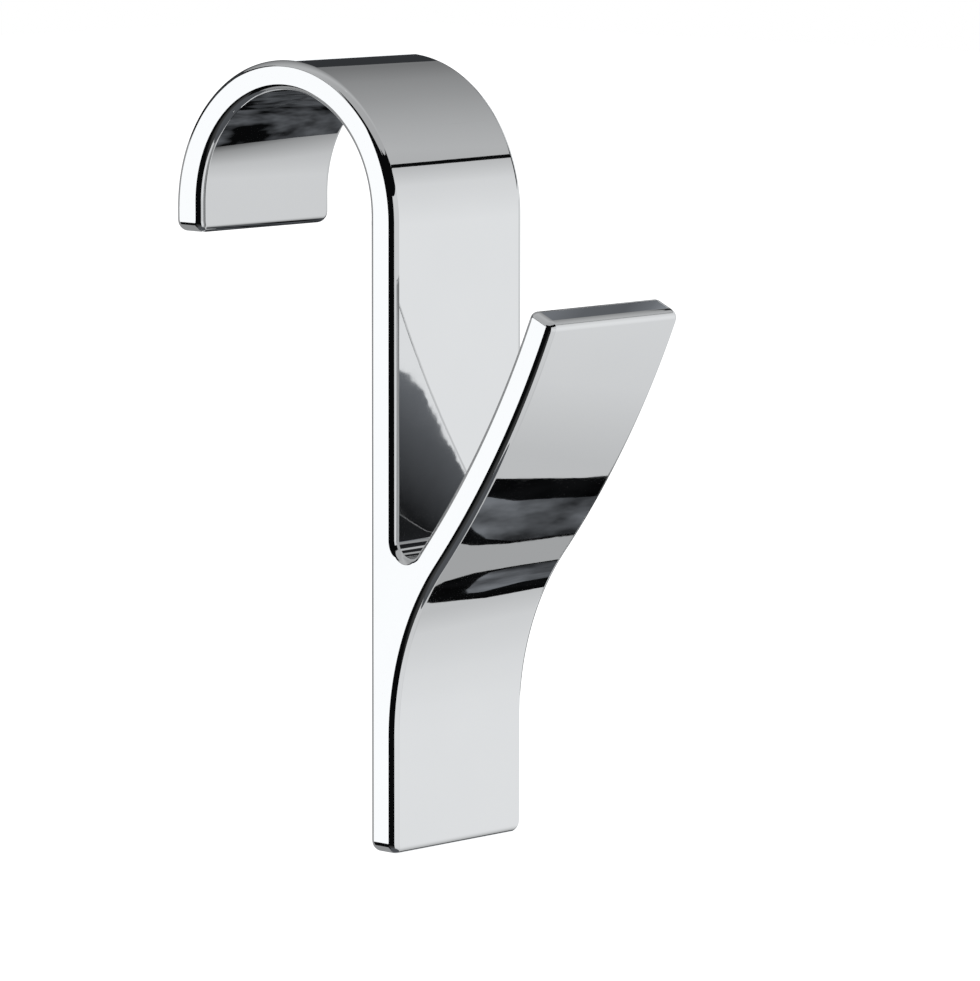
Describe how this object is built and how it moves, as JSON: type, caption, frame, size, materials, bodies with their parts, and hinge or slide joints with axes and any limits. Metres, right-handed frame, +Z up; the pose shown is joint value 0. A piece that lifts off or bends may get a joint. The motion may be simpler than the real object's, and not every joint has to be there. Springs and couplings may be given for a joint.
{
  "type": "radiator towel hook",
  "caption": "Hook whose arch hangs over a round radiator tube, with a flat shank in front of the tube and a curved arm that rises from its lower end to hold a towel.",
  "frame": {"origin": "axis of the radiator tube, at the middle of the hook's width", "axes": "+X along the radiator tube, -Y out into the room on the towel arm's side, +Y towards the wall on the free leg's side, +Z up"},
  "size_m": [0.025, 0.07, 0.105],
  "materials": {
    "plating_grade_plastic": "etched satin moulding, natural ivory plastic",
    "copper": "bright levelled copper plate",
    "nickel": "bright nickel plate",
    "chromium": "mirror bright decorative chromium"
  },
  "bodies": {
    "root": {"moulded_core": "plating_grade_plastic", "copper_plate": "copper", "nickel_plate": "nickel", "chrome_plate": "chromium"}
  },
  "joints": []
}
